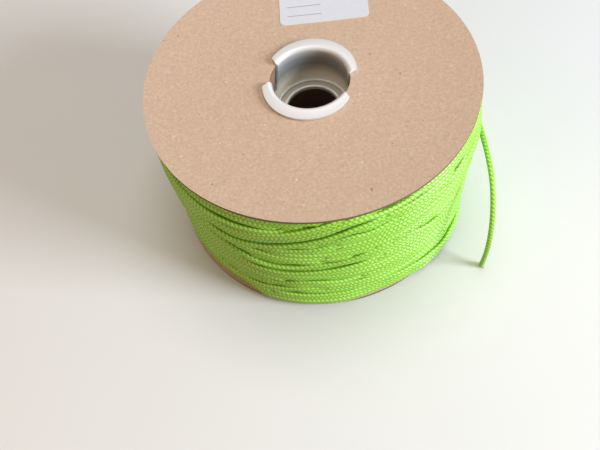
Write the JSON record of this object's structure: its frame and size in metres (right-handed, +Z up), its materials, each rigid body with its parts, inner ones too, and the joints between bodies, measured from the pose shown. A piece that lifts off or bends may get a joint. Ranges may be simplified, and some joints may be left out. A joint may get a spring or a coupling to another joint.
{
  "type": "fishing line spool",
  "caption": "Round fibreboard reel on a paper tube with moulded hubs, wound full of braided cord, its free end hanging to the floor.",
  "frame": {"origin": "on the floor under the reel's axis, at the centre of the lower disc's rim", "axes": "+Z up the reel's axis; +X to the right in the picture, where the free end leaves the winding; -Y towards the camera"},
  "size_m": [0.1698, 0.1698, 0.0903],
  "materials": {
    "board": "uncoated tan fibreboard, faintly mottled",
    "tube_paper": "plain spiral-wound paper",
    "hub_plastic": "white moulded plastic, soft shine",
    "label_paper": "white pasted paper",
    "cord": "bright lime green braid with a slight sheen"
  },
  "bodies": {
    "root": {"bottom_flange": "board", "top_flange": "board", "core_tube": "tube_paper", "bottom_hub": "hub_plastic", "top_hub": "hub_plastic", "label": "label_paper", "inner_layers": "cord", "lower_turns": "cord", "upper_turns": "cord", "cord_tail": "cord"}
  },
  "joints": []
}
